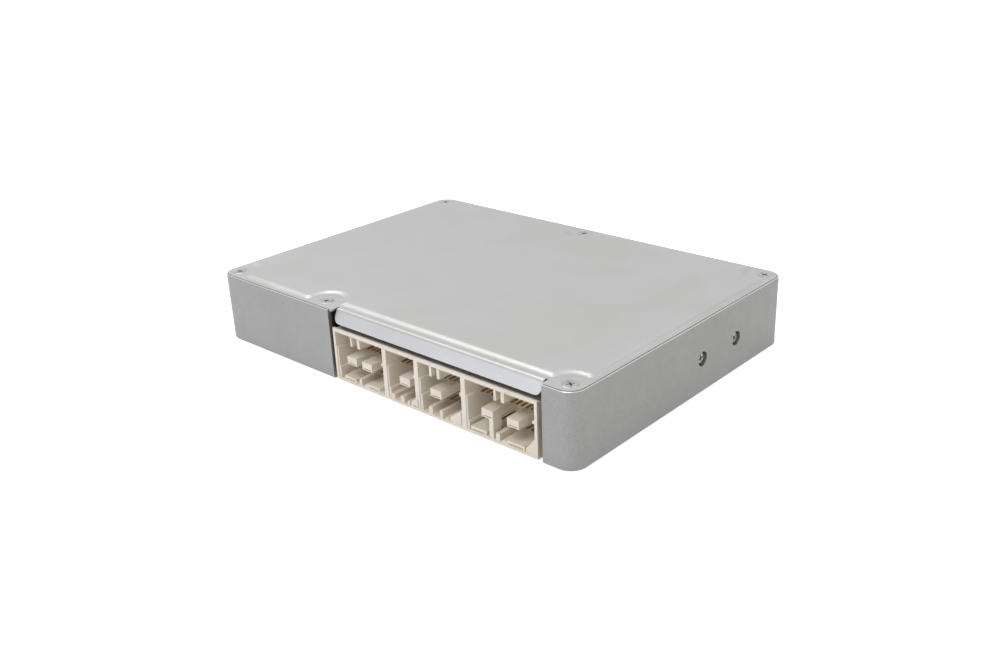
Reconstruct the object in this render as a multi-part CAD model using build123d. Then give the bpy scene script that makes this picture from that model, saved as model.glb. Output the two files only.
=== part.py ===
from build123d import *
from dataclasses import dataclass
import math
import os

# Engine control unit: a shallow cast aluminium case, a pressed cover with a flap over the plugs,
# and a four-bay moulded plug header on a circuit board. Millimetres.
# The origin is the middle of the base, +X runs along the front, and the front faces -Y.

# Case casting
case_length = 200.0
case_depth = 144.0
case_height = 30.6
corner_radius = 7.0
wall = 1.8
floor = 1.5
base_edge = 0.8
rim_edge = 0.15
rim_width = 0.6
rim_height = 0.6

# Cover sheet, let into the rim of the case
sheet = 0.8
cover_gap = 0.15
cover_flange = 1.25
panel_rise = 1.0
ramp_width = 2.2
panel_corner = 3.0
ramp_top_round = 4.0
pad_radius = 6.9
front_strip = 5.8

# Flap of the cover, bent down over the header
flap_fold_setback = 3.2
flap_reach = 2.2
flap_drop = 5.6
flap_bend = 1.6
flap_corner = 2.8
flap_left_inset = 0.6
flap_right_over = 1.0
flap_left_slit = 0.6
flap_right_slit = 1.1

# Cover screws, countersunk
screw_inset = 6.2
cover_screw_head = 6.4
cover_screw_proud = 0.1
cover_screw_length = 9.0
thread = 3.0
boss_radius = 4.0
connector_screw_offset = 7.8
back_screw_x = -1.7

# Cross recess of every screw
recess_width = 0.6
recess_span = 3.0
recess_depth = 1.2

# Front opening of the case
right_post = 14.0
header_gap_left = 1.5
header_gap_right = 2.5

# Plug header moulding
header_setback = 0.4
header_bottom = 0.4
header_top = 23.3
header_roof = 1.5
bead_depth = 1.0
bead_height = 0.8
end_wall = 1.3
divider = 2.2
bay_floor_thickness = 0.9
cavity_depth = 14.0
back_wall = 2.4
rib_setback = 0.5
post_bottom = 8.9
post_height = 3.4
roof_rib_bottom = 17.3
roof_rib_depth = 7.5
ledge_top = 14.5
ledge_width = 0.6
step_width = 0.5
rail_bottom = 13.5
rail_height = 1.7
rail_width = 1.4
gusset_foot = 1.5
gusset_depth = 5.0
slot_height = 0.4
slot_depth = 1.6
slot_margin = 0.8
slot_rise = 0.2
pad_height = 1.7
ear_length = 9.0
ear_depth = 11.0
ear_thickness = 3.4

# Header pins
pin = 0.64
pin_pitch = 2.4
pin_margin = 0.5
pin_tip_setback = 6.5
pin_tip_taper = 0.22
pin_rows = (6.4, 14.8)
pin_leg_first = 2.6
pin_leg_step = 3.0
pin_tail = 1.0

# Circuit board
board_thickness = 1.6
standoff_height = 2.0
standoff_radius = 3.4
board_side_gap = 1.6
board_back_gap = 11.4
board_header_gap = 0.4
board_right_gap = 6.8
board_corner = 2.0
board_screw_inset = 5.0
board_screw_head = 5.6
board_screw_head_height = 2.0
thread_depth = 2.6

# Power transistors on the right wall
side_screw_spacing = 25.0
side_screw_first_y = 8.7
side_screw_z = 14.5
counterbore = 6.0
side_screw_head = 5.2
side_screw_head_height = 1.9
side_screw_recess = 0.9
heat_wall = 6.0
heat_wall_margin = 12.4
heat_wall_top = 26.0
heat_pad = 0.3
transistor_width = 10.2
transistor_thickness = 4.6
transistor_height = 15.6
transistor_stand = 3.4
transistor_tab_height = 6.2
transistor_step = 1.6
transistor_hole = 3.2
transistor_lead = 0.8
transistor_lead_pitch = 2.54
clamp_thickness = 1.4
clamp_height = 8.0
clamp_return = 3.0
screw_clearance = 0.15

# Leads through the board
lead_tail = 1.0
wire = 0.7

# Free space kept in front of the small parts and beside the clamp bar
area_side_gap = 4.0
area_front_gap = 3.0

# Surface-mounted packages
chip_standoff = 0.15
chip_draft = 0.6
chip_lead_reach = 1.7
chip_lead_width = 0.5
chip_lead_thickness = 0.2

# Electrolytic capacitors
capacitor_radius = 5.0
capacitor_height = 16.0
capacitor_crimp = 0.4
capacitor_shoulder = 0.5

# Supply choke
choke_radius = 6.0
choke_height = 11.0
choke_cheek = 2.0
choke_winding = 1.2

# Clock crystal
crystal_length = 11.0
crystal_width = 4.8
crystal_height = 3.8
crystal_flange = 0.5

# Supply clamp diode
diode_radius = 2.6
diode_length = 9.0
diode_bend = 2.0
diode_stand = 0.3

# Resistor packs
network_leads = 8
network_pitch = 2.54
network_thickness = 2.4
network_height = 6.0
network_stand = 0.8
network_round = 0.6

# Small two-ended surface parts
small_length = 2.0
small_width = 1.2
small_end = 0.4
small_plating = 0.05
small_pitch = 4.2
small_capacitors = 8
small_capacitor_height = 1.1
small_resistors = 10
small_resistor_height = 0.6


@dataclass
class Bay:
    """One plug bay; everything in it is placed by its distance from the bay's left wall.

    Posts, roof ribs and pads are (place, width), and floor ribs (place, width, height).
    The gusset on the right wall is (width, height), and core slots are (place, width, rise, height).
    """

    width: float
    posts: tuple
    roof_ribs: tuple
    floor_ribs: tuple
    pads: tuple
    step_top: float
    gusset: tuple = ()
    web: tuple = ()
    cores: tuple = ()


bays = (
    Bay(
        width=27.8,
        posts=((5.8, 5.6), (14.7, 5.8)),
        roof_ribs=((8.5, 1.0), (12.7, 1.4)),
        floor_ribs=((12.1, 1.5, 2.6), (15.6, 1.8, 1.2)),
        pads=((3.0, 7.0), (17.4, 6.8)),
        step_top=6.1,
    ),
    Bay(
        width=15.6,
        posts=((6.6, 5.6),),
        roof_ribs=(),
        floor_ribs=((0.9, 2.2, 2.0), (6.4, 2.0, 2.5), (10.4, 1.2, 1.4)),
        pads=(),
        step_top=5.2,
        gusset=(3.4, 4.3),
        cores=((13.3, 3.2, 0.2, 0.4), (16.5, 0.4, 0.2, 4.1)),
    ),
    Bay(
        width=22.4,
        posts=((5.7, 5.8),),
        roof_ribs=((5.7, 1.2), (9.7, 1.4)),
        floor_ribs=((4.3, 2.0, 2.9), (10.2, 1.5, 2.9), (13.6, 1.2, 1.0)),
        pads=(),
        step_top=7.7,
        gusset=(7.0, 6.8),
        cores=((21.3, 0.4, 0.2, 5.4),),
    ),
    Bay(
        width=33.0,
        posts=((7.4, 5.6), (19.7, 5.6)),
        roof_ribs=((13.7, 1.1), (17.1, 1.6)),
        floor_ribs=((14.1, 1.9, 2.8), (17.2, 2.2, 0.9)),
        pads=((1.6, 7.8), (19.4, 8.4)),
        step_top=4.4,
        gusset=(4.6, 6.8),
        web=(11.0, 2.0),
    ),
)

# Places that follow from the sizes above
front = -case_depth / 2
back = case_depth / 2
left = -case_length / 2
right = case_length / 2
cover_seat = case_height - rim_height
cover_top = cover_seat + sheet
cover_inset = rim_width + cover_gap
opening_right = right - right_post
header_length = sum(bay.width for bay in bays) + (len(bays) - 1) * divider + 2 * end_wall
header_right = opening_right - header_gap_right
header_left = header_right - header_length
opening_left = header_left - header_gap_left
header_front = front + header_setback
cavity_back = header_front + cavity_depth
header_back = cavity_back + back_wall
bay_floor = header_bottom + bay_floor_thickness
bay_roof = header_top - header_roof
board_bottom = floor + standoff_height
board_top = board_bottom + board_thickness
board_left = left + wall + board_side_gap
board_right = right - board_right_gap
board_front = header_back + board_header_gap
board_back = back - board_back_gap
heat_face = right - heat_wall
transistor_face = heat_face - heat_pad
clamp_face = transistor_face - transistor_thickness
transistor_bottom = board_top + transistor_stand
side_screws_y = (side_screw_first_y, side_screw_first_y + side_screw_spacing)
front_row = front + screw_inset
back_row = back - screw_inset
cover_screw_points = (
    (left + screw_inset, front_row),
    (opening_left - connector_screw_offset, front_row),
    (right - screw_inset, front_row),
    (right - screw_inset, back_row),
    (back_screw_x, back_row),
    (left + screw_inset, back_row),
)
ear_middle = ear_length / 2
ear_screw_y = header_back + ear_depth / 2
ear_screw_points = (
    (header_left - ear_middle + end_wall, ear_screw_y),
    (header_right + ear_middle - end_wall, ear_screw_y),
)
board_screw_points = (
    (board_left + board_screw_inset, board_front + board_screw_inset),
    (board_left + board_screw_inset, board_back - board_screw_inset),
    (back_screw_x, board_back - board_screw_inset),
    (board_right - board_screw_inset, board_back - board_screw_inset),
)

# The part of the board that is free for the smaller parts
area_left = board_left + 2 * board_screw_inset
area_right = clamp_face - clamp_thickness - clamp_return - area_side_gap
area_front = header_back + ear_depth + area_front_gap
area_back = board_back - 2 * board_screw_inset


def board_place(across_share, depth_share):
    """A point of the free area, by its share of the way from the left and from the front."""
    x = area_left + across_share * (area_right - area_left)
    y = area_front + depth_share * (area_back - area_front)
    return x, y


@dataclass
class Package:
    """A surface-mounted package: its place, its body, and its leads on each long and short side."""

    place: tuple
    length: float
    width: float
    height: float
    leads: int
    end_leads: int = 0


packages = {
    "microcontroller": Package(board_place(0.36, 0.55), 20.0, 20.0, 2.4, 11, 11),
    "memory_chip": Package(board_place(0.19, 0.55), 9.0, 6.6, 1.8, 4),
    "sensor_interface": Package(board_place(0.13, 0.85), 16.0, 7.6, 2.2, 8),
    "ignition_driver": Package(board_place(0.62, 0.62), 13.0, 7.6, 2.2, 6),
    "output_driver_1": Package(board_place(0.60, 0.28), 13.0, 7.6, 2.4, 6),
    "output_driver_2": Package(board_place(0.77, 0.28), 13.0, 7.6, 2.4, 6),
}
capacitor_places = (board_place(0.94, 0.95), board_place(0.94, 0.79), board_place(0.94, 0.63))
network_row = (board_place(0.04, 0.28), board_place(0.10, 0.28))
choke_place = board_place(0.80, 0.90)
crystal_place = board_place(0.36, 0.85)
diode_place = board_place(0.79, 0.65)
capacitor_row = board_place(0.20, 0.16)
resistor_row = board_place(0.20, 0.06)


def block(x0, x1, y0, y1, z0, z1):
    """A box between two corners."""
    return Pos((x0 + x1) / 2, (y0 + y1) / 2, (z0 + z1) / 2) * Box(x1 - x0, y1 - y0, z1 - z0)


def post(x, y, z0, z1, radius):
    """An upright cylinder."""
    return Pos(x, y, (z0 + z1) / 2) * Cylinder(radius, z1 - z0)


def across(x0, x1, y, z, radius):
    """A cylinder lying along X."""
    return Pos((x0 + x1) / 2, y, z) * Rot(0, 90, 0) * Cylinder(radius, x1 - x0)


def revolved(profile):
    """A solid of revolution about +Z from (radius, height) points."""
    return revolve(Plane.XZ * make_face(Polyline(*profile, close=True)), Axis.Z)


def side_profile(x0, x1, points):
    """A plate from x0 to x1 with the given (y, z) outline."""
    face = make_face(Polyline(*points, close=True))
    return Pos(x0, 0, 0) * extrude(Plane.YZ * face, x1 - x0)


def front_profile(y0, y1, points):
    """A plate from y0 to y1 with the given (x, z) outline."""
    face = make_face(Polyline(*points, close=True))
    return Pos(0, y0, 0) * extrude(Plane.XZ * face, -(y1 - y0))


def cross_recess(z):
    """The cutter of a cross recess whose mouth is at height z."""
    span = recess_span / 2
    half = recess_width / 2
    bar = block(-span, span, -half, half, z - recess_depth, z + 1)
    return bar + Rot(0, 0, 90) * bar


def countersunk_screw():
    """A countersunk cover screw, upright, with the sheet's top face at height 0."""
    cone = (cover_screw_head - thread) / 2
    rim = cover_screw_head / 2
    crown = 0.8 * rim
    body = revolved([
        (0, cover_screw_proud),
        (crown, cover_screw_proud),
        (rim, 0),
        (thread / 2, -cone),
        (thread / 2, -cover_screw_length),
        (0, -cover_screw_length),
    ])
    return body - cross_recess(cover_screw_proud)


def pan_screw(head, head_height, length):
    """A pan-head screw, upright, seated at height 0."""
    body = revolved([
        (0, head_height),
        (0.36 * head, head_height),
        (head / 2, 0.6 * head_height),
        (head / 2, 0),
        (thread / 2, 0),
        (thread / 2, -length),
        (0, -length),
    ])
    return body - cross_recess(head_height)


def cover_boss(x, y):
    """The pillar for a cover screw, run into the walls beside it."""
    r = boss_radius
    body = post(x, y, floor, cover_seat, r)
    wall_y = front if y < 0 else back
    body += block(x - r, x + r, min(y, wall_y), max(y, wall_y), floor, cover_seat)
    if abs(abs(x) - case_length / 2) < 2 * screw_inset:
        wall_x = left if x < 0 else right
        body += block(min(x, wall_x), max(x, wall_x), y - r, y + r, floor, cover_seat)
    return body


def countersink(x, y, grow):
    """The cone that clears a cover screw's head, by grow on the radius."""
    cone = (cover_screw_head - thread) / 2
    rim = cover_screw_head / 2 + grow
    return Pos(x, y, cover_top) * revolved([
        (0, 1),
        (rim, 1),
        (rim, 0),
        (thread / 2 + grow, -cone),
        (thread / 2 + grow, -cone - sheet),
        (0, -cone - sheet),
    ])


def case_body():
    """The case casting: rimmed tray, screw pillars, standoffs and the thick wall for the transistors."""
    solid = extrude(RectangleRounded(case_length, case_depth, corner_radius), case_height)
    solid = fillet(solid.edges().group_by(Axis.Z)[0], base_edge)
    solid = chamfer(solid.edges().group_by(Axis.Z)[-1], rim_edge)
    outline = solid
    inner = RectangleRounded(case_length - 2 * wall, case_depth - 2 * wall, corner_radius - wall)
    solid -= Pos(0, 0, floor) * extrude(inner, case_height)
    rims = 2 * rim_width
    rebate = RectangleRounded(case_length - rims, case_depth - rims, corner_radius - rim_width)
    solid -= Pos(0, 0, cover_seat) * extrude(rebate, case_height)
    heat_y0 = side_screws_y[0] - heat_wall_margin
    heat_y1 = side_screws_y[1] + heat_wall_margin
    inside = [cover_boss(x, y) for x, y in cover_screw_points]
    standing = board_screw_points + ear_screw_points
    inside += [post(x, y, floor / 2, board_bottom, standoff_radius) for x, y in standing]
    inside.append(block(heat_face, right, heat_y0, heat_y1, floor / 2, heat_wall_top))
    solid += [piece & outline for piece in inside]
    cuts = [block(opening_left, opening_right, front - 1, front + wall + 1, floor, case_height + 1)]
    cuts.append(block(opening_left, opening_right, front - 1, board_front, -1, floor + 1))
    for x, y in cover_screw_points:
        cuts.append(post(x, y, cover_top - cover_screw_length, case_height + 1, thread / 2))
        cuts.append(countersink(x, y, screw_clearance))
    for x, y in standing:
        cuts.append(post(x, y, board_bottom - thread_depth, board_bottom + 1, thread / 2))
    for y in side_screws_y:
        seat = right - side_screw_recess - side_screw_head_height
        cuts.append(across(seat, right + 1, y, side_screw_z, counterbore / 2))
        cuts.append(across(heat_face - 1, seat + 1, y, side_screw_z, thread / 2 + screw_clearance))
    return solid - cuts


def panel_outline():
    """The foot of the cover's raised panel, drawn round the screw pads and behind the flap."""
    edge = cover_inset + cover_flange
    radius = max(corner_radius - edge, 1.0)
    outline = RectangleRounded(case_length - 2 * edge, case_depth - 2 * edge, radius)
    strip_left = cover_screw_points[1][0]
    strip = Rectangle(right - strip_left, front_strip)
    outline -= Pos((strip_left + right) / 2, front + front_strip / 2) * strip
    for x, y in cover_screw_points:
        outline -= Pos(x, y) * Circle(pad_radius)
        wall_y = front if y < 0 else back
        outline -= Pos(x, (y + wall_y) / 2) * Rectangle(2 * pad_radius, abs(y - wall_y))
        if abs(abs(x) - case_length / 2) < 2 * screw_inset:
            wall_x = left if x < 0 else right
            outline -= Pos((x + wall_x) / 2, y) * Rectangle(abs(x - wall_x), 2 * pad_radius)
    return outline


def raised_panel():
    """The raised middle of the cover as a solid, its foot on height 0."""
    inset = offset(panel_outline(), amount=-panel_corner, kind=Kind.INTERSECTION)
    foot = offset(inset, amount=panel_corner, kind=Kind.ARC)
    slope = math.degrees(math.atan(ramp_width / panel_rise))
    panel = extrude(foot, amount=panel_rise, taper=slope)
    return fillet(panel.edges().group_by(Axis.Z)[-1], ramp_top_round)


def flap(x0, x1, y_root):
    """The front flap of the cover, bent down and outward, with its two free corners rounded."""
    fold_y = front + flap_fold_setback
    path = FilletPolyline(
        (y_root, cover_top),
        (fold_y, cover_top),
        (fold_y - flap_reach, cover_top - flap_drop),
        radius=flap_bend,
    )
    section = make_face(offset(path, amount=sheet, side=Side.LEFT))
    tongue = Pos(x0, 0, 0) * extrude(Plane.YZ * section, x1 - x0)
    low = cover_top - flap_drop / 2
    edges = tongue.edges().filter_by(GeomType.LINE)
    corners = [edge for edge in edges if edge.center().Z < low and abs(edge.length - sheet) < 0.01]
    return fillet(corners, flap_corner)


def top_cover():
    """The pressed cover: one sheet with a raised panel, flat screw pads and the bent front flap."""
    length = case_length - 2 * cover_inset
    depth = case_depth - 2 * cover_inset
    plate = extrude(RectangleRounded(length, depth, corner_radius - cover_inset), sheet)
    panel = raised_panel()
    solid = Pos(0, 0, cover_seat) * plate + Pos(0, 0, cover_top) * panel - Pos(0, 0, cover_seat) * panel
    flap_left = header_left + flap_left_inset
    flap_right = header_right + flap_right_over
    y_root = front + flap_fold_setback + flap_bend
    notch_left = flap_left - flap_left_slit
    notch_right = flap_right + flap_right_slit
    solid -= block(notch_left, notch_right, front - 1, y_root, cover_seat - 1, cover_top + 1)
    solid += flap(flap_left, flap_right, y_root)
    return solid - [countersink(x, y, 0) for x, y in cover_screw_points]


def cover_screws():
    """The six countersunk screws of the cover."""
    screw = countersunk_screw()
    places = enumerate(cover_screw_points)
    return [Pos(x, y, cover_top) * Rot(0, 0, 24 * i) * screw for i, (x, y) in places]


def bay_starts():
    """The X of each bay's left wall."""
    starts = []
    x = header_left + end_wall
    for bay in bays:
        starts.append(x)
        x += bay.width + divider
    return starts


def pin_places(bay, x0):
    """The X of each pin of one row in a bay."""
    count = int((bay.width - 2 * pin_margin) / pin_pitch)
    first = x0 + (bay.width - (count - 1) * pin_pitch) / 2
    return [first + i * pin_pitch for i in range(count)]


def stepped_wall(bay, x0):
    """The outline of a bay's left wall: a step low down and a ledge half way up."""
    low = x0 + ledge_width + step_width
    high = x0 + ledge_width
    buried = x0 - divider / 2
    return [
        (buried, bay_floor), (low, bay_floor), (low, bay.step_top), (high, bay.step_top + step_width),
        (high, ledge_top), (x0, ledge_top + ledge_width), (buried, ledge_top + ledge_width),
    ]


def rail(x1):
    """The outline of the blunt rail along a bay's right wall."""
    buried = x1 + end_wall / 2
    shoulder = x1 - rail_width / 2
    nose = x1 - rail_width
    third = rail_height / 3
    top = rail_bottom + rail_height
    return [
        (buried, rail_bottom), (shoulder, rail_bottom), (nose, rail_bottom + third),
        (nose, top - third), (shoulder, top), (buried, top),
    ]


def bay_inside(bay, x0):
    """What is moulded inside one bay: stepped wall, rail, posts, ribs, pads, web and gusset."""
    x1 = x0 + bay.width
    face = header_front + rib_setback
    end = cavity_back + back_wall / 2
    sunk = header_bottom + bay_floor_thickness / 2
    pieces = [front_profile(face, end, stepped_wall(bay, x0)), front_profile(face, end, rail(x1))]

    def bar(at, width, y1, z0, z1):
        pieces.append(block(x0 + at, x0 + at + width, face, y1, z0, z1))

    for at, width in bay.posts:
        bar(at, width, end, post_bottom, post_bottom + post_height)
    rib_top = bay_roof + (header_roof - bead_height) / 2
    for at, width in bay.roof_ribs:
        bar(at, width, header_front + roof_rib_depth, roof_rib_bottom, rib_top)
    for at, width, height in bay.floor_ribs:
        bar(at, width, end, sunk, bay_floor + height)
    for at, width in bay.pads:
        bar(at, width, end, sunk, bay_floor + pad_height)
    if bay.web:
        at, width = bay.web
        bar(at, width, header_front + gusset_depth, sunk, post_bottom + post_height / 2)
    if bay.gusset:
        width, height = bay.gusset
        top = bay_floor + height
        buried = x1 + end_wall / 2
        pieces.append(front_profile(face, header_front + gusset_depth, [
            (x1 - width, sunk), (x1 - width, bay_floor + gusset_foot),
            (x1, top), (buried, top), (buried, sunk)]))
    return pieces


def front_slots(bay, x0):
    """The narrow core slots on the front of a bay: low on its posts and pads, and beside its gusset."""
    places = list(bay.cores)
    for at, width in bay.posts:
        rise = post_bottom - bay_floor + slot_height
        places.append((at + slot_margin, width - 2 * slot_margin, rise, slot_height))
    for at, width in bay.pads:
        places.append((at + slot_margin, width - 2 * slot_margin, slot_rise, slot_height))
    slots = []
    end = header_front + rib_setback + slot_depth
    for at, width, rise, height in places:
        x = x0 + at
        z = bay_floor + rise
        slots.append(block(x, x + width, header_front - 1, end, z, z + height))
    return slots


def header_ear(x, y):
    """A foot of the header on the board, with its brace; the brace is on the side of the pins."""
    half = ear_length / 2
    rear = header_back + ear_depth
    top = board_top + ear_thickness
    foot = block(x - half, x + half, cavity_back + back_wall / 3, rear, board_top, top)
    inner = -1 if x < (header_left + header_right) / 2 else 1
    x_in = x - inner * half
    x_out = x_in + inner * end_wall
    brace = side_profile(min(x_in, x_out), max(x_in, x_out), [
        (cavity_back, board_top), (rear, board_top), (rear, top),
        (header_back, bay_roof), (cavity_back, bay_roof)])
    return foot + brace


def pin_hole(x, z):
    """The cutter of a pin's hole through the back wall of a bay."""
    half = pin / 2
    return block(x - half, x + half, cavity_back - 1, header_back + 1, z - half, z + half)


def connector_housing():
    """The plug header: one moulding with four open bays, set on the front edge of the board."""
    solid = block(header_left, header_right, header_front, header_back, header_bottom, header_top)
    low_roof = header_top - bead_height
    behind = header_front + bead_depth
    solid -= block(header_left - 1, header_right + 1, behind, header_back + 1, low_roof, header_top + 1)
    starts = bay_starts()
    for bay, x in zip(bays, starts):
        solid -= block(x, x + bay.width, header_front - 1, cavity_back, bay_floor, bay_roof)
    inside = []
    for bay, x in zip(bays, starts):
        inside += bay_inside(bay, x)
    solid += inside
    solid += [header_ear(x, y) for x, y in ear_screw_points]
    cuts = []
    for bay, x in zip(bays, starts):
        cuts += front_slots(bay, x)
        cuts += [pin_hole(place, z) for place in pin_places(bay, x) for z in pin_rows]
    for x, y in ear_screw_points:
        cuts.append(post(x, y, board_top - 1, board_top + ear_thickness + 1, thread / 2 + screw_clearance))
    return solid - cuts


def pin_leg_y(row):
    """Where the legs of a pin row go down into the board, lowest row first."""
    return header_back + pin_leg_first + row * pin_leg_step


def bay_pins(bay, x0):
    """The bent pins of one bay, both rows."""
    tip = header_front + pin_tip_setback
    full = tip + 3 * pin_tip_taper
    half = pin / 2
    pins = []
    for row, z in enumerate(pin_rows):
        y = pin_leg_y(row)
        foot = board_bottom - pin_tail
        outline = [
            (tip, z - half + pin_tip_taper), (tip, z + half - pin_tip_taper),
            (full, z + half), (y + half, z + half), (y + half, foot),
            (y - half, foot), (y - half, z - half), (full, z - half),
        ]
        for place in pin_places(bay, x0):
            pins.append(side_profile(place - half, place + half, outline))
    return pins


def lead(x, y, width, depth, top):
    """A straight lead from the given height down through the board."""
    return block(x - width / 2, x + width / 2, y - depth / 2, y + depth / 2, board_bottom - lead_tail, top)


def pair_places(x, y, spacing):
    """Two round-wire leads side by side along X, each as (x, y, width, depth)."""
    return [(x - spacing / 2, y, wire, wire), (x + spacing / 2, y, wire, wire)]


def network_places(x, y):
    """The leads of a resistor pack, in one line along Y."""
    middle = (network_leads - 1) / 2
    return [(x, y + (i - middle) * network_pitch, wire / 2, wire) for i in range(network_leads)]


def transistor_places():
    """The Y of each transistor, one on each side of each side screw."""
    reach = thread / 2 + screw_clearance + transistor_width / 2
    return [y + side * reach for y in side_screws_y for side in (-1, 1)]


def transistor_lead_places(y):
    """The three leads of the transistor at y."""
    x = transistor_face - transistor_thickness / 2
    return [(x, y + i * transistor_lead_pitch, transistor_lead / 2, transistor_lead) for i in (-1, 0, 1)]


def lead_places():
    """Every straight lead that goes down through the board, apart from the header's pins."""
    places = pair_places(*choke_place, choke_radius)
    places += pair_places(*crystal_place, crystal_length / 2)
    places += pair_places(*diode_place, diode_length + 2 * diode_bend)
    for x, y in capacitor_places:
        places += pair_places(x, y, capacitor_radius)
    for x, y in network_row:
        places += network_places(x, y)
    for y in transistor_places():
        places += transistor_lead_places(y)
    return places


def circuit_board():
    """The board, drilled for the header's pins, the parts' leads and the screws."""
    length = board_right - board_left
    depth = board_back - board_front
    plate = extrude(RectangleRounded(length, depth, board_corner), board_thickness)
    solid = Pos((board_left + board_right) / 2, (board_front + board_back) / 2, board_bottom) * plate
    below = board_bottom - 1
    above = board_top + 1
    bore = thread / 2 + screw_clearance
    holes = [post(x, y, below, above, bore) for x, y in board_screw_points + ear_screw_points]
    places = lead_places()
    for bay, x0 in zip(bays, bay_starts()):
        for x in pin_places(bay, x0):
            places += [(x, pin_leg_y(row), pin, pin) for row in range(len(pin_rows))]
    for x, y, width, depth in places:
        holes.append(block(x - width / 2, x + width / 2, y - depth / 2, y + depth / 2, below, above))
    return solid - holes


def board_screws():
    """The four screws that hold the board to its standoffs."""
    screw = pan_screw(board_screw_head, board_screw_head_height, board_thickness + thread_depth)
    return [Pos(x, y, board_top) * screw for x, y in board_screw_points]


def header_screws():
    """The two screws through the header's feet and the board."""
    length = ear_thickness + board_thickness + thread_depth
    screw = pan_screw(board_screw_head, board_screw_head_height, length)
    return [Pos(x, y, board_top + ear_thickness) * screw for x, y in ear_screw_points]


def side_screws():
    """The two recessed screws in the right wall, through to the clamp bar."""
    seat = right - side_screw_recess - side_screw_head_height
    length = seat - clamp_face + clamp_thickness + 1
    screw = Rot(0, 90, 0) * pan_screw(side_screw_head, side_screw_head_height, length)
    places = enumerate(side_screws_y)
    return [Pos(seat, y, side_screw_z) * Rot(15 + 35 * i, 0, 0) * screw for i, y in places]


def clamp_bar():
    """The steel channel that holds the four transistors to the wall, tapped for the side screws."""
    y0 = side_screws_y[0] - heat_wall_margin + 1
    y1 = side_screws_y[1] + heat_wall_margin - 1
    z0 = side_screw_z - clamp_height / 2
    z1 = side_screw_z + clamp_height / 2
    web = clamp_face - clamp_thickness
    channel = block(web - clamp_return, clamp_face, y0, y1, z0, z1)
    channel -= block(web - clamp_return - 1, web, y0 - 1, y1 + 1, z0 + clamp_thickness, z1 - clamp_thickness)
    return channel - [across(web - 1, clamp_face + 1, y, side_screw_z, thread / 2) for y in side_screws_y]


def insulating_sheet():
    """The thin sheet between the transistors and the wall, punched for the side screws."""
    y0 = side_screws_y[0] - heat_wall_margin
    y1 = side_screws_y[1] + heat_wall_margin
    pad = block(transistor_face, heat_face, y0, y1, transistor_bottom, transistor_bottom + transistor_height)
    hole = thread / 2 + screw_clearance
    return pad - [across(transistor_face - 1, heat_face + 1, y, side_screw_z, hole) for y in side_screws_y]


def power_transistor(y):
    """A fully moulded power transistor standing against the insulating sheet."""
    x0 = transistor_face - transistor_thickness
    top = transistor_bottom + transistor_height
    tab = top - transistor_tab_height
    half = transistor_width / 2
    body = block(x0, transistor_face, y - half, y + half, transistor_bottom, top)
    body -= block(x0 - 1, x0 + transistor_step, y - half - 1, y + half + 1, tab, top + 1)
    body -= across(x0, transistor_face + 1, y, (tab + top) / 2, transistor_hole / 2)
    return body + [lead(*place, transistor_bottom) for place in transistor_lead_places(y)]


def gull_lead(rise):
    """One bent lead of a package, leaving it at the given height and running along +X to its foot."""
    reach = chip_lead_reach
    t = chip_lead_thickness
    knee = reach / 3
    outline = [
        (-t, rise), (-t, rise + t), (knee, rise + t), (2 * knee, t),
        (reach, t), (reach, 0), (2 * knee - t, 0), (knee - t, rise),
    ]
    blade = extrude(Plane.XZ * make_face(Polyline(*outline, close=True)), chip_lead_width)
    return Pos(0, chip_lead_width / 2, 0) * blade


def lead_row(edge, span, count, rise):
    """A row of package leads along +X and the same row along -X."""
    pitch = (span - 2 * chip_draft) / count
    wing = gull_lead(rise)
    row = [Pos(edge / 2, (i - (count - 1) / 2) * pitch, 0) * wing for i in range(count)]
    return row + [Rot(0, 0, 180) * piece for piece in row]


def chip(package):
    """A surface-mounted package, its body drawn in towards the top and the bottom from the leads."""
    rise = chip_standoff + package.height / 2
    wide = Pos(0, 0, rise) * Rectangle(package.length, package.width)
    narrow = Rectangle(package.length - chip_draft, package.width - chip_draft)
    body = loft([Pos(0, 0, chip_standoff) * narrow, wide], ruled=True)
    body += loft([wide, Pos(0, 0, chip_standoff + package.height) * narrow], ruled=True)
    leads = [Rot(0, 0, 90) * piece for piece in lead_row(package.width, package.length, package.leads, rise)]
    if package.end_leads:
        leads += lead_row(package.length, package.width, package.end_leads, rise)
    x, y = package.place
    return Pos(x, y, board_top) * (body + leads)


def filter_capacitor(x, y):
    """An electrolytic capacitor: a can with a crimp near its foot and a vented top."""
    r = capacitor_radius
    top = capacitor_height
    crimp = 5 * capacitor_crimp
    rim = r - 2 * capacitor_shoulder
    vent = top - capacitor_shoulder / 2
    body = revolved([
        (0, 0), (r, 0), (r, crimp), (r - capacitor_crimp, crimp + capacitor_crimp),
        (r, crimp + 2 * capacitor_crimp), (r, top - capacitor_shoulder),
        (r - capacitor_shoulder, top), (rim, top), (rim, vent), (0, vent),
    ])
    return Pos(x, y, board_top) * body + [lead(*place, board_top + 1) for place in pair_places(x, y, r)]


def supply_choke(x, y):
    """The supply choke: a winding between the two cheeks of a ferrite drum."""
    r = choke_radius
    waist = r - choke_winding
    top = choke_height
    body = revolved([
        (0, 0), (r, 0), (r, choke_cheek), (waist, choke_cheek),
        (waist, top - choke_cheek), (r, top - choke_cheek), (r, top), (0, top),
    ])
    return Pos(x, y, board_top) * body + [lead(*place, board_top + 1) for place in pair_places(x, y, r)]


def clock_crystal(x, y):
    """The clock crystal: a low can on a flanged base."""
    base = extrude(SlotOverall(crystal_length, crystal_width), crystal_flange)
    rim = 2 * crystal_flange
    can = extrude(SlotOverall(crystal_length - rim, crystal_width - rim), crystal_height)
    leads = [lead(*place, board_top + crystal_flange / 2) for place in pair_places(x, y, crystal_length / 2)]
    return Pos(x, y, board_top) * (base + can) + leads


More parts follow.
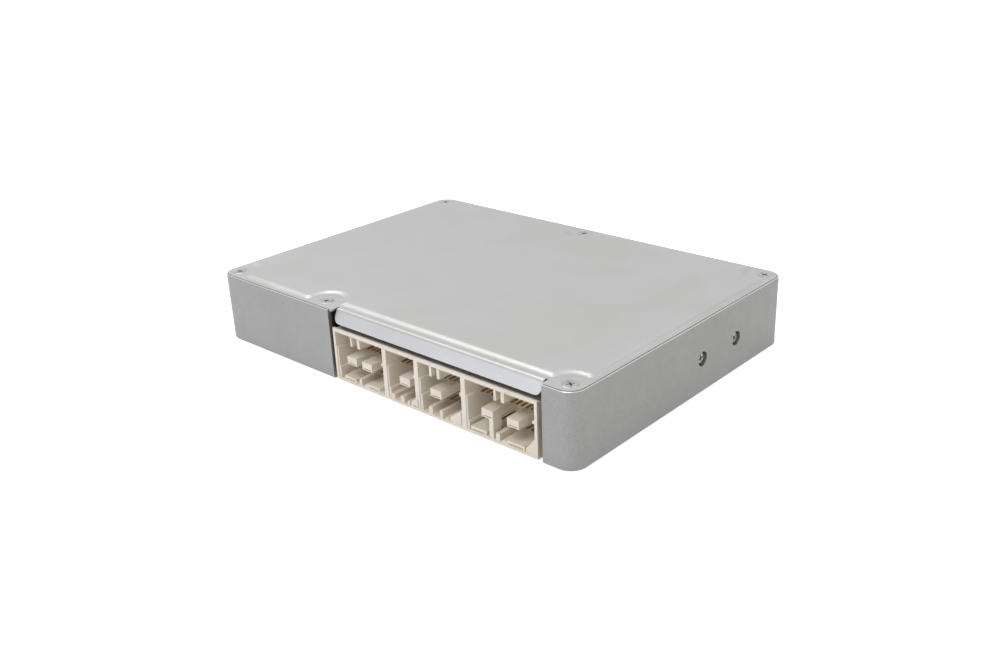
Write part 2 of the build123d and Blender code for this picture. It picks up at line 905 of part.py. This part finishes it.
def surge_diode(x, y):
    """The supply clamp diode: a barrel lying just above the board on two bent leads."""
    z = board_top + diode_stand + diode_radius
    end = diode_length / 2
    span = diode_length + 2 * diode_bend
    body = across(x - end, x + end, y, z, diode_radius)
    reach = (span + wire) / 2
    thin = wire / 2
    body += block(x - reach, x + reach, y - thin, y + thin, z - thin, z + thin)
    return body + [lead(*place, z) for place in pair_places(x, y, span)]


def resistor_network(x, y):
    """A single-in-line resistor pack, standing on its row of leads."""
    length = network_leads * network_pitch
    half = network_thickness / 2
    foot = board_top + network_stand
    body = block(x - half, x + half, y - length / 2, y + length / 2, foot, foot + network_height)
    ridges = body.edges().filter_by(Axis.Y).group_by(Axis.Z)[-1]
    body = fillet(ridges, min(network_round, 0.4 * network_thickness))
    return body + [lead(*place, foot) for place in network_places(x, y)]


def small_parts(place, count, height):
    """A row of small two-ended surface parts, lying along Y, each with its raised metal ends."""
    half = small_length / 2
    side = small_width / 2
    edge = side + small_plating
    part = block(-side, side, -half, half, 0, height)
    part += block(-edge, edge, -half, small_end - half, 0, height + small_plating)
    part += block(-edge, edge, half - small_end, half, 0, height + small_plating)
    x, y = place
    return [Pos(x + i * small_pitch, y, board_top) * part for i in range(count)]


def group(parts):
    """Equal parts kept as separate solids of one node."""
    return Compound(children=parts)


def all_nodes():
    """Every node of the unit by name."""
    nodes = {
        "case_body": case_body(),
        "top_cover": top_cover(),
        "cover_screws": group(cover_screws()),
        "connector_housing": connector_housing(),
        "circuit_board": circuit_board(),
        "board_screws": group(board_screws()),
        "header_screws": group(header_screws()),
        "side_screws": group(side_screws()),
        "clamp_bar": clamp_bar(),
        "heat_pad": insulating_sheet(),
        "choke": supply_choke(*choke_place),
        "crystal": clock_crystal(*crystal_place),
        "surge_diode": surge_diode(*diode_place),
        "chip_capacitors": group(small_parts(capacitor_row, small_capacitors, small_capacitor_height)),
        "chip_resistors": group(small_parts(resistor_row, small_resistors, small_resistor_height)),
    }
    for number, (bay, x) in enumerate(zip(bays, bay_starts()), 1):
        nodes[f"bay_{number}_pins"] = group(bay_pins(bay, x))
    for number, y in enumerate(transistor_places(), 1):
        nodes[f"power_transistor_{number}"] = power_transistor(y)
    for number, (x, y) in enumerate(capacitor_places, 1):
        nodes[f"filter_capacitor_{number}"] = filter_capacitor(x, y)
    for number, (x, y) in enumerate(network_row, 1):
        nodes[f"resistor_network_{number}"] = resistor_network(x, y)
    for name, package in packages.items():
        nodes[name] = chip(package)
    return nodes


if __name__ == "__main__":
    os.makedirs("parts", exist_ok=True)
    for name, shape in all_nodes().items():
        export_step(shape, f"parts/{name}.step")
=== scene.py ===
import math

import bpy
from mathutils import Matrix, Vector


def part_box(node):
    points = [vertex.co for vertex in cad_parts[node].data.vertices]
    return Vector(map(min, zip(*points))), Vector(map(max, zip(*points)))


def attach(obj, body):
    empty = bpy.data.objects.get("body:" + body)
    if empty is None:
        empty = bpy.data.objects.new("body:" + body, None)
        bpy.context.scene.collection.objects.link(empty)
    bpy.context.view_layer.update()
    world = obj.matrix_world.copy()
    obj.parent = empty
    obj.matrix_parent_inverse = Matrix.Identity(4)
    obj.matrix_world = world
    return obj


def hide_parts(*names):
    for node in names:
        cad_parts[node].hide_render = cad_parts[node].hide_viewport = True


bl_info = {
    "name": "Engine Control Unit",
    "version": (1, 0, 0),
    "blender": (4, 5, 0),
    "location": "3D View > Sidebar > Control Unit",
    "description": "Dresses the unit's case, cover, plug header, pins, screws and board on a stage",
    "category": "Object",
}

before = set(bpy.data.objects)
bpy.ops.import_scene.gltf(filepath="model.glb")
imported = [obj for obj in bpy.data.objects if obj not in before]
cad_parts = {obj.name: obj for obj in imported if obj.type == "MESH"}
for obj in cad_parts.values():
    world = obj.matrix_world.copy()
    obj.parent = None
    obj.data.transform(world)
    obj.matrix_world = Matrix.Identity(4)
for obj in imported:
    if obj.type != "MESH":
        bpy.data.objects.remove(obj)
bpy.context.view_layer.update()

MM = 0.001

# In a copy of a CAD node, points this near are merged and faces this near to one plane are joined
MERGE_WITHIN = 0.002 * MM
FLAT_WITHIN = math.radians(0.3)

# Edges that turn by more than the first three angles are rounded, and turns below the last are
# shaded smooth
METAL_EDGE = math.radians(50)
MOULDED_EDGE = math.radians(30)
SCREW_EDGE = math.radians(35)
SMOOTH_BELOW = math.radians(35)

# The milled rim, whose brighter tone is a painted highlight, is the case's faces whose normals rise
# this much, this near to its top
RIM_RISE = 0.6
RIM_DEPTH = 0.2 * MM

# Spacings of the grains and patches drawn in the metals and plastics. A real milling mark or the
# skin of a plating or moulding is 0.1 mm or less, too fine to show, so these are coarser.
MILLING_GRAIN = 0.3 * MM
MOULDED_GRAIN = 0.5 * MM
PLATED_GRAIN = 0.4 * MM
PLATED_PATCH = 2.2 * MM
COATED_PATCH = 6 * MM

# What is coated or moulded on the board: two near tones, roughness and the spacing of its skin's
# grain, which is drawn coarser than it is for the same reason
BOARD_COATINGS = {
    # Moulded in a matt tool: dull and near black
    "Black epoxy moulding": ("1B1B1D", "242426", 0.55, 0.3 * MM),
    # Sintered, wound and varnished: dark brown-grey, half dull
    "Ferrite and varnish": ("2A2826", "3A3129", 0.5, 0.4 * MM),
    # Screened on and cured: a glossy deep green
    "Green solder mask": ("1F6B3A", "175430", 0.3, 0.6 * MM),
    # Coated cloth: a dull blue-grey
    "Silicone on glass cloth": ("8494A0", "76858F", 0.6, 0.5 * MM),
    # Fired bare: a warm tan, half dull
    "Ceramic": ("A08262", "8C7052", 0.45, 0.2 * MM),
    # Fired with a dark glaze: near black, with some gloss
    "Glazed ceramic": ("2E2C2A", "3A3734", 0.35, 0.2 * MM),
    # Shrunk on by heat: glossy blue-black
    "Dark shrink sleeve": ("20242E", "2A2F3A", 0.25, 0.5 * MM),
    # Dipped and baked: a smooth dark blue-grey
    "Dipped phenolic coating": ("2C3440", "232A34", 0.35, 0.4 * MM),
}

# The metal parts on the board: tone, dull tone and roughness
BOARD_METALS = {
    # Rolled and tempered: a middle grey, half bright
    "Spring steel": ("8C8C8E", "6E6E70", 0.35),
    # Deep drawn: pale and bright
    "Drawn nickel silver": ("C4C2BC", "A6A49E", 0.25),
}

# The finish of every node whose name starts so
BOARD_FINISHES = {
    "circuit_board": "Green solder mask",
    "clamp_bar": "Spring steel",
    "heat_pad": "Silicone on glass cloth",
    "choke": "Ferrite and varnish",
    "crystal": "Drawn nickel silver",
    "surge_diode": "Black epoxy moulding",
    "chip_capacitors": "Ceramic",
    "chip_resistors": "Glazed ceramic",
    "filter_capacitor": "Dark shrink sleeve",
    "resistor_network": "Dipped phenolic coating",
    "power_transistor": "Black epoxy moulding",
    "output_driver": "Black epoxy moulding",
    "ignition_driver": "Black epoxy moulding",
    "sensor_interface": "Black epoxy moulding",
    "microcontroller": "Black epoxy moulding",
    "memory_chip": "Black epoxy moulding",
}

WHITE = "FFFFFF"

# Soft square lamps: name, place, side in metres, power in watts and colour
LAMPS = (
    ("overhead_softbox", (0.3, 0.4, 2.0), 1.0, 3.0, WHITE),
    ("left_softbox", (-0.7, 0.12, 1.3), 0.5, 5.4, WHITE),
    ("back_softbox", (-0.3, 0.9, 1.0), 0.5, 0.6, WHITE),
    ("front_left_softbox", (-0.4, -1.15, 0.06), 0.8, 4.6, "E8EBFF"),
    ("front_softbox", (0.15, -0.8, 1.4), 0.7, 8.5, WHITE),
)


# Sizes and colours that a user would change


class CaseSettings(bpy.types.PropertyGroup):
    """The die-cast case."""

    edge_round: bpy.props.FloatProperty(
        name="Edge round", description="Radius that blasting leaves on sharp edges",
        default=0.06 * MM, unit="LENGTH")
    light_tone: bpy.props.StringProperty(
        name="Light tone", description="Clean blasted metal, sRGB hex", default="959594")
    dark_tone: bpy.props.StringProperty(
        name="Dark tone", description="Handled, dulled metal, sRGB hex", default="929291")
    grit: bpy.props.FloatProperty(
        name="Grit", description="Spacing of the blasted grain as it is drawn",
        default=0.8 * MM, unit="LENGTH")
    roughness: bpy.props.FloatProperty(
        name="Roughness", description="Of the blasted metal", default=0.52, subtype="FACTOR")


class CoverSettings(bpy.types.PropertyGroup):
    """The pressed cover."""

    edge_round: bpy.props.FloatProperty(
        name="Edge round", description="Radius of the sheared sheet edge",
        default=0.12 * MM, unit="LENGTH")
    light_tone: bpy.props.StringProperty(
        name="Light tone", description="Clean sheet, sRGB hex", default="B0B0B0")
    dark_tone: bpy.props.StringProperty(
        name="Dark tone", description="Smudged sheet, sRGB hex", default="ADADAC")
    grain: bpy.props.FloatProperty(
        name="Grain", description="Spacing of the rolled sheet's grain as it is drawn",
        default=0.7 * MM, unit="LENGTH")
    roughness: bpy.props.FloatProperty(
        name="Roughness", description="Of the satin sheet", default=0.48, subtype="FACTOR")


class HeaderSettings(bpy.types.PropertyGroup):
    """The moulded plug header and its pins."""

    edge_round: bpy.props.FloatProperty(
        name="Edge round", description="Radius of the moulding's edges",
        default=0.12 * MM, unit="LENGTH")
    tone: bpy.props.StringProperty(
        name="Tone", description="Cream moulding, sRGB hex", default="ECE5DA")
    warm_tone: bpy.props.StringProperty(
        name="Warm tone", description="Thicker, yellower moulding, sRGB hex", default="E7DBC9")
    pin_tone: bpy.props.StringProperty(
        name="Pin tone", description="Plated pin, sRGB hex", default="B08F5E")
    pin_dull_tone: bpy.props.StringProperty(
        name="Dull pin tone", description="Dulled patches on a pin, sRGB hex", default="7E6B4C")


class ScrewSettings(bpy.types.PropertyGroup):
    """The screws."""

    edge_round: bpy.props.FloatProperty(
        name="Edge round", description="Radius of the edges of the heads that show",
        default=0.1 * MM, unit="LENGTH")
    head_tone: bpy.props.StringProperty(
        name="Head tone", description="Zinc plating, sRGB hex", default="B4B4B2")
    head_dull_tone: bpy.props.StringProperty(
        name="Dull head tone", description="Dulled patches of the plating, sRGB hex",
        default="8F8F8A")
    roughness: bpy.props.FloatProperty(
        name="Roughness", description="Of the plating", default=0.36, subtype="FACTOR")


class StageSettings(bpy.types.PropertyGroup):
    """The camera, the floor and the even light."""

    camera_azimuth: bpy.props.FloatProperty(
        name="Camera azimuth", description="Round the unit from its front",
        default=math.radians(42.616), subtype="ANGLE")
    camera_elevation: bpy.props.FloatProperty(
        name="Camera elevation", description="Above the floor",
        default=math.radians(23.366), subtype="ANGLE")
    camera_roll: bpy.props.FloatProperty(
        name="Camera roll", description="About the line of sight",
        default=math.radians(-2.243), subtype="ANGLE")
    camera_distance: bpy.props.FloatProperty(
        name="Camera distance", description="From the point aimed at",
        default=0.47098, unit="LENGTH")
    camera_aim: bpy.props.FloatVectorProperty(
        name="Camera aim", description="Point in the middle of the picture",
        default=(0.00341, -0.00169, 0.00359), subtype="TRANSLATION")
    lens: bpy.props.FloatProperty(
        name="Lens", description="Focal length in millimetres", default=38.453)
    sensor: bpy.props.FloatProperty(
        name="Sensor", description="Width of the camera's sensor in millimetres", default=36)
    floor_size: bpy.props.FloatProperty(
        name="Floor size", description="Side of the floor", default=6.0, unit="LENGTH")
    floor_tone: bpy.props.StringProperty(
        name="Floor tone", description="Pale floor, sRGB hex", default="EDEDED")
    floor_fibre_tone: bpy.props.StringProperty(
        name="Floor fibre tone", description="Fibres in the floor's paper, sRGB hex",
        default="E4E4E4")
    floor_glow: bpy.props.FloatProperty(
        name="Floor glow", description="Light that the floor adds where it is seen", default=0.6)
    fill: bpy.props.FloatProperty(
        name="Fill", description="Strength of the even light from all round", default=0.38)


SETTINGS = {
    "ecu_case": CaseSettings,
    "ecu_cover": CoverSettings,
    "ecu_header": HeaderSettings,
    "ecu_screws": ScrewSettings,
    "ecu_stage": StageSettings,
}


# Meshes


def select_only(obj):
    """Deselects everything, then selects one object and makes it active."""
    bpy.ops.object.select_all(action="DESELECT")
    obj.select_set(True)
    bpy.context.view_layer.objects.active = obj


def modify(obj, kind, **settings):
    """Adds a modifier with its settings and applies it."""
    select_only(obj)
    modifier = obj.modifiers.new(kind.title(), kind)
    for name, value in settings.items():
        setattr(modifier, name, value)
    bpy.ops.object.modifier_apply(modifier=modifier.name)


def copy_of(node, name):
    """A free copy of a CAD node's mesh, with its loose triangles merged into whole flat faces."""
    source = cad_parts[node]
    obj = bpy.data.objects.new(name, source.data.copy())
    bpy.context.scene.collection.objects.link(obj)
    obj.data.materials.clear()
    select_only(obj)
    if obj.data.has_custom_normals:
        bpy.ops.mesh.customdata_custom_splitnormals_clear()
    bpy.ops.object.mode_set(mode="EDIT")
    bpy.ops.mesh.select_all(action="SELECT")
    bpy.ops.mesh.remove_doubles(threshold=MERGE_WITHIN)
    bpy.ops.mesh.dissolve_limited(angle_limit=FLAT_WITHIN)
    bpy.ops.object.mode_set(mode="OBJECT")
    return obj


def round_edges(obj, width, above):
    """Rounds every edge that turns by more than the given angle, then shades smooth."""
    modify(obj, "BEVEL", width=width, segments=2, limit_method="ANGLE", angle_limit=above,
           use_clamp_overlap=True, harden_normals=False, miter_outer="MITER_ARC")
    select_only(obj)
    bpy.ops.object.shade_smooth_by_angle(angle=SMOOTH_BELOW)
    modify(obj, "WEIGHTED_NORMAL", keep_sharp=True, weight=60)


def dress(obj, material, slot, *nodes):
    """Gives a piece its material and its body, and hides the CAD nodes that it stands for; its slot
    is not used.
    """
    obj.data.materials.clear()
    obj.data.materials.append(material)
    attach(obj, "root")
    if nodes:
        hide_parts(*nodes)


def refinish(node, material):
    """Gives a CAD node that stays a better material."""
    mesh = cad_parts[node].data
    mesh.materials.clear()
    mesh.materials.append(material)


# Materials


def linear(hex_value):
    """An sRGB hex colour as linear RGBA."""
    channels = [int(hex_value[i:i + 2], 16) / 255 for i in (0, 2, 4)]
    return [c / 12.92 if c <= 0.04045 else ((c + 0.055) / 1.055) ** 2.4 for c in channels] + [1.0]


def add_node(tree, kind, inputs, **settings):
    """Adds a shader node with its settings, and sets or links each of the inputs given."""
    node = tree.nodes.new(kind)
    for name, value in settings.items():
        setattr(node, name, value)
    for name, value in inputs.items():
        if isinstance(value, bpy.types.NodeSocket):
            tree.links.new(value, node.inputs[name])
        else:
            node.inputs[name].default_value = value
    return node


def surface(name, tone, patterns, layers, roughness=None, relief=None, constants=None):
    """A material of one base tone, with other tones, roughness and relief where its patterns say.

    patterns: for each name, its grains' spacing in metres and any detail, distortion or stretch
    layers: the pattern, the two of its values between which the layer comes in, its most, its tone
    roughness: the pattern, two of its values and the roughness at each
    relief: the pattern, its height in metres and its strength
    constants: what is the same all over, set on the shader's own sockets
    """
    material = bpy.data.materials.new(name)
    material.use_nodes = True
    tree = material.node_tree
    tree.nodes.clear()
    inputs = dict(constants or {})
    place = add_node(tree, "ShaderNodeTexCoord", {}).outputs["Object"]
    values = {}
    for title, facts in patterns.items():
        spread = add_node(tree, "ShaderNodeMapping", {
            "Vector": place, "Scale": facts.get("stretch", (1, 1, 1))})
        values[title] = add_node(tree, "ShaderNodeTexNoise", {
            "Vector": spread.outputs["Vector"], "Scale": 1 / facts["spacing"],
            "Detail": facts.get("detail", 2),
            "Distortion": facts.get("distortion", 0)}).outputs["Fac"]
    colour = linear(tone)
    for title, start, end, most, layer in layers:
        share = add_node(tree, "ShaderNodeMapRange", {
            "Value": values[title], "From Min": start, "From Max": end, "To Max": most})
        colour = add_node(tree, "ShaderNodeMix", {
            0: share.outputs["Result"], 6: colour, 7: linear(layer)}, data_type="RGBA").outputs[2]
    inputs["Base Color"] = colour
    if roughness:
        title, start, end, low, high = roughness
        inputs["Roughness"] = add_node(tree, "ShaderNodeMapRange", {
            "Value": values[title], "From Min": start, "From Max": end,
            "To Min": low, "To Max": high}).outputs["Result"]
    if relief:
        title, height, strength = relief
        inputs["Normal"] = add_node(tree, "ShaderNodeBump", {
            "Height": values[title], "Distance": height, "Strength": strength}).outputs["Normal"]
    shader = add_node(tree, "ShaderNodeBsdfPrincipled", inputs)
    add_node(tree, "ShaderNodeOutputMaterial", {"Surface": shader.outputs["BSDF"]})
    return material


def blasted_casting(settings):
    """Die-cast aluminium, fine blasted and clear passivated.

    Blasting scatters the light, so it looks an even, dry grey with a fine dark speckle. Real blast
    pits are about 0.1 mm across, too fine to show, so the grit is drawn coarser.
    """
    return surface(
        "Blasted die-cast aluminium", settings.light_tone,
        patterns={
            "handling": {"spacing": 38 * MM, "detail": 3, "distortion": 0.6},
            "mottle": {"spacing": 5 * MM, "detail": 3},
            "grit": {"spacing": settings.grit},
        },
        layers=(
            ("handling", 0.38, 0.66, 1.0, settings.dark_tone),
            ("mottle", 0.45, 0.75, 0.05, "8A8A88"),
            ("grit", 0.45, 0.8, 0.4, "7C7C7A"),
        ),
        roughness=("mottle", 0.3, 0.7, settings.roughness - 0.02, settings.roughness + 0.03),
        relief=("grit", 0.07 * MM, 0.6),
        constants={"Metallic": 1.0})


def milled_rim_painted_highlight():
    """The same casting, milled on top of the case's rim.

    The cut is glossier than the blasted walls, and its tone is painted brighter than the casting as
    a painted highlight, which draws a light line round the cover.
    """
    return surface(
        # D2D2D0 is a painted highlight: the rim is painted much lighter than the casting's tone
        "Milled aluminium with painted highlight", "D2D2D0",
        patterns={"feed": {"spacing": MILLING_GRAIN, "stretch": (1, 1, 0.1)}},
        layers=(("feed", 0.35, 0.65, 1.0, "BEBEBC"),),
        roughness=("feed", 0.3, 0.7, 0.3, 0.4),
        relief=("feed", 0.01 * MM, 0.3),
        constants={"Metallic": 1.0})


def satin_sheet(settings):
    """Rolled aluminium sheet, satin and clear passivated.

    It looks brighter and smoother than the casting, with soft smudges from handling. The real grain
    is about 0.1 mm, too fine to show, so it is drawn coarser.
    """
    return surface(
        "Satin aluminium sheet", settings.light_tone,
        patterns={
            "smudge": {"spacing": 46 * MM, "detail": 4, "distortion": 1.2},
            "grain": {"spacing": settings.grain},
        },
        layers=(
            ("smudge", 0.42, 0.68, 1.0, settings.dark_tone),
            ("grain", 0.5, 0.8, 0.35, "A8A8A5"),
        ),
        roughness=("smudge", 0.42, 0.68, settings.roughness, settings.roughness + 0.02),
        relief=("grain", 0.03 * MM, 0.4),
        constants={"Metallic": 1.0})


def cream_moulding(settings):
    """Glass-filled polyester, injection moulded.

    It is a dull cream, clouded by the melt's flow, that lets a little light in at its thin edges.
    """
    return surface(
        "Cream polyester moulding", settings.tone,
        patterns={
            "flow": {"spacing": 14 * MM, "detail": 3, "distortion": 0.8},
            "skin": {"spacing": MOULDED_GRAIN},
        },
        layers=(("flow", 0.35, 0.7, 1.0, settings.warm_tone),),
        roughness=("skin", 0.3, 0.7, 0.42, 0.56),
        relief=("skin", 0.02 * MM, 0.4),
        constants={
            "IOR": 1.5, "Subsurface Weight": 0.12, "Subsurface Radius": (1.6, 1.0, 0.6),
            "Subsurface Scale": MM})


def plated_metal(name, tone, dull_tone, roughness):
    """A plated or drawn metal, whose skin looks dull and grey in patches."""
    return surface(
        name, tone,
        patterns={
            "patch": {"spacing": PLATED_PATCH, "detail": 3},
            "skin": {"spacing": PLATED_GRAIN},
        },
        layers=(("patch", 0.4, 0.7, 1.0, dull_tone),),
        roughness=("skin", 0.3, 0.7, roughness - 0.06, roughness + 0.1),
        relief=("skin", 0.01 * MM, 0.4),
        constants={"Metallic": 1.0})


def coated_or_moulded(name, tone, second_tone, roughness, grain):
    """An opaque plastic, coating or ceramic, which looks slightly clouded, with a fine skin."""
    return surface(
        name, tone,
        patterns={
            "cloud": {"spacing": COATED_PATCH, "detail": 3},
            "skin": {"spacing": grain},
        },
        layers=(("cloud", 0.35, 0.7, 1.0, second_tone),),
        roughness=("skin", 0.3, 0.7, roughness - 0.06, roughness + 0.08),
        relief=("skin", 0.01 * MM, 0.4),
        constants={"IOR": 1.5})


def seen_directly(tree):
    """1 for rays from the camera, in gloss or through glass, and 0 for light that is scattered."""
    rays = add_node(tree, "ShaderNodeLightPath", {}).outputs
    seen = rays["Is Camera Ray"]
    for kind in ("Is Glossy Ray", "Is Transmission Ray"):
        seen = add_node(tree, "ShaderNodeMath", {
            0: seen, 1: rays[kind]}, operation="MAXIMUM").outputs[0]
    return seen


def studio_floor(settings):
    """Matt white paper. Its lit parts look white to the camera and in gloss, and shadows stay."""
    material = surface(
        "Studio floor", settings.floor_tone,
        patterns={"fibre": {"spacing": 3 * MM}},
        layers=(("fibre", 0.0, 1.0, 0.15, settings.floor_fibre_tone),),
        constants={"Roughness": 0.9, "Emission Color": linear(WHITE)})
    tree = material.node_tree
    glow = add_node(tree, "ShaderNodeMath", {
        0: seen_directly(tree), 1: settings.floor_glow}, operation="MULTIPLY")
    tree.links.new(glow.outputs[0], tree.nodes["Principled BSDF"].inputs["Emission Strength"])
    return material


# Operators, one for each piece or group of like pieces


class ECU_OT_case(bpy.types.Operator):
    """Dresses the die-cast case"""

    bl_idname = "ecu.case"
    bl_label = "Case"

    def execute(self, context):
        settings = context.scene.ecu_case
        case = copy_of("case_body", "case")
        round_edges(case, settings.edge_round, METAL_EDGE)
        dress(case, blasted_casting(settings), "case_aluminium", "case_body")
        # The rim's upward faces get the painted highlight: a lighter tone along the rim
        case.data.materials.append(milled_rim_painted_highlight())
        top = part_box("case_body")[1][2]
        for face in case.data.polygons:
            if face.normal.z > RIM_RISE and face.center.z > top - RIM_DEPTH:
                face.material_index = 1
        return {"FINISHED"}


class ECU_OT_cover(bpy.types.Operator):
    """Dresses the pressed cover and its bent flap"""

    bl_idname = "ecu.cover"
    bl_label = "Cover"

    def execute(self, context):
        settings = context.scene.ecu_cover
        cover = copy_of("top_cover", "cover")
        round_edges(cover, settings.edge_round, METAL_EDGE)
        dress(cover, satin_sheet(settings), "cover_sheet", "top_cover")
        return {"FINISHED"}


class ECU_OT_header(bpy.types.Operator):
    """Dresses the moulded plug header"""

    bl_idname = "ecu.header"
    bl_label = "Plug header"

    def execute(self, context):
        settings = context.scene.ecu_header
        header = copy_of("connector_housing", "plug_header")
        round_edges(header, settings.edge_round, MOULDED_EDGE)
        dress(header, cream_moulding(settings), "header_plastic", "connector_housing")
        return {"FINISHED"}


class ECU_OT_pins(bpy.types.Operator):
    """Plates the header's pins"""

    bl_idname = "ecu.pins"
    bl_label = "Pins"

    def execute(self, context):
        settings = context.scene.ecu_header
        # Tin over brass looks like pale gold between its dulled patches
        plating = plated_metal("Tin-plated brass", settings.pin_tone, settings.pin_dull_tone, 0.38)
        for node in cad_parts:
            if node.endswith("_pins"):
                refinish(node, plating)
        return {"FINISHED"}


class ECU_OT_screws(bpy.types.Operator):
    """Dresses the screws that show and plates the ones inside"""

    bl_idname = "ecu.screws"
    bl_label = "Screws"

    def execute(self, context):
        settings = context.scene.ecu_screws
        # Zinc plating looks a pale, half-bright grey
        zinc = plated_metal(
            "Zinc-plated steel", settings.head_tone, settings.head_dull_tone, settings.roughness)
        for node in ("cover_screws", "side_screws"):
            screws = copy_of(node, node.replace("_screws", "_screw_set"))
            round_edges(screws, settings.edge_round, SCREW_EDGE)
            dress(screws, zinc, "screw_steel", node)
        for node in ("board_screws", "header_screws"):
            refinish(node, zinc)
        return {"FINISHED"}


class ECU_OT_board_parts(bpy.types.Operator):
    """Gives the board and the parts on it their finishes"""

    bl_idname = "ecu.board_parts"
    bl_label = "Board and its parts"

    def execute(self, context):
        finishes = {name: coated_or_moulded(name, *facts) for name, facts in BOARD_COATINGS.items()}
        for name, facts in BOARD_METALS.items():
            finishes[name] = plated_metal(name, *facts)
        for start, finish in BOARD_FINISHES.items():
            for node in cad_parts:
                if node.startswith(start):
                    refinish(node, finishes[finish])
        return {"FINISHED"}


class ECU_OT_stage(bpy.types.Operator):
    """Adds the floor, the camera and the lights"""

    bl_idname = "ecu.stage"
    bl_label = "Stage"

    def add_floor(self, settings):
        """A plain pale floor under the unit."""
        bpy.ops.object.select_all(action="DESELECT")
        bpy.ops.mesh.primitive_plane_add(size=settings.floor_size, location=(0, 0, 0))
        floor = bpy.context.object
        floor.name = "floor"
        floor.data.materials.append(studio_floor(settings))

    def add_camera(self, settings):
        """The camera, round the aim point, tipped by its roll."""
        azimuth = settings.camera_azimuth
        elevation = settings.camera_elevation
        back = Vector((
            math.sin(azimuth) * math.cos(elevation),
            -math.cos(azimuth) * math.cos(elevation),
            math.sin(elevation)))
        roll = Matrix.Rotation(settings.camera_roll, 3, "Z")
        turn = back.to_track_quat("Z", "Y").to_matrix() @ roll
        location = Vector(settings.camera_aim) + back * settings.camera_distance
        bpy.ops.object.camera_add(location=location, rotation=turn.to_euler())
        camera = bpy.context.object
        camera.data.lens = settings.lens
        camera.data.sensor_width = settings.sensor
        camera.data.clip_start = 10 * MM
        bpy.context.scene.camera = camera

    def add_lamps(self):
        """Soft square lamps that face the unit."""
        for name, place, side, power, tone in LAMPS:
            turn = Vector(place).to_track_quat("Z", "Y").to_euler()
            bpy.ops.object.light_add(type="AREA", location=place, rotation=turn)
            lamp = bpy.context.object
            lamp.name = name
            lamp.data.size = side
            lamp.data.energy = power
            lamp.data.color = linear(tone)[:3]

    def add_surroundings(self, settings):
        """Even light from all round, and plain white where it is seen directly."""
        world = bpy.data.worlds.new("Studio")
        bpy.context.scene.world = world
        world.use_nodes = True
        tree = world.node_tree
        tree.nodes.clear()
        fill = add_node(tree, "ShaderNodeBackground", {
            "Color": linear(WHITE), "Strength": settings.fill})
        white = add_node(tree, "ShaderNodeBackground", {"Color": linear(WHITE), "Strength": 1.0})
        mixed = add_node(tree, "ShaderNodeMixShader", {
            "Fac": seen_directly(tree), 1: fill.outputs[0], 2: white.outputs[0]})
        add_node(tree, "ShaderNodeOutputWorld", {"Surface": mixed.outputs[0]})

    def execute(self, context):
        settings = context.scene.ecu_stage
        self.add_floor(settings)
        self.add_camera(settings)
        self.add_lamps()
        self.add_surroundings(settings)
        context.scene.view_settings.view_transform = "Standard"
        return {"FINISHED"}


OPERATORS = (
    ECU_OT_case,
    ECU_OT_cover,
    ECU_OT_header,
    ECU_OT_pins,
    ECU_OT_screws,
    ECU_OT_board_parts,
    ECU_OT_stage,
)


class ECU_PT_panel(bpy.types.Panel):
    """The unit's pieces, in the order in which they are made, and their settings"""

    bl_label = "Engine Control Unit"
    bl_idname = "ECU_PT_panel"
    bl_space_type = "VIEW_3D"
    bl_region_type = "UI"
    bl_category = "Control Unit"

    def draw(self, context):
        for operator in OPERATORS:
            self.layout.operator(operator.bl_idname)
        for group, kind in SETTINGS.items():
            box = self.layout.box()
            for name in kind.__annotations__:
                box.prop(getattr(context.scene, group), name)


def register():
    for name, group in SETTINGS.items():
        bpy.utils.register_class(group)
        setattr(bpy.types.Scene, name, bpy.props.PointerProperty(type=group))
    for operator in OPERATORS:
        bpy.utils.register_class(operator)
    bpy.utils.register_class(ECU_PT_panel)


def unregister():
    bpy.utils.unregister_class(ECU_PT_panel)
    for operator in reversed(OPERATORS):
        bpy.utils.unregister_class(operator)
    for name, group in SETTINGS.items():
        delattr(bpy.types.Scene, name)
        bpy.utils.unregister_class(group)


def main():
    register()
    bpy.ops.ecu.case()
    bpy.ops.ecu.cover()
    bpy.ops.ecu.header()
    bpy.ops.ecu.pins()
    bpy.ops.ecu.screws()
    bpy.ops.ecu.board_parts()
    bpy.ops.ecu.stage()
    bpy.context.view_layer.update()


if __name__ == "__main__":
    main()
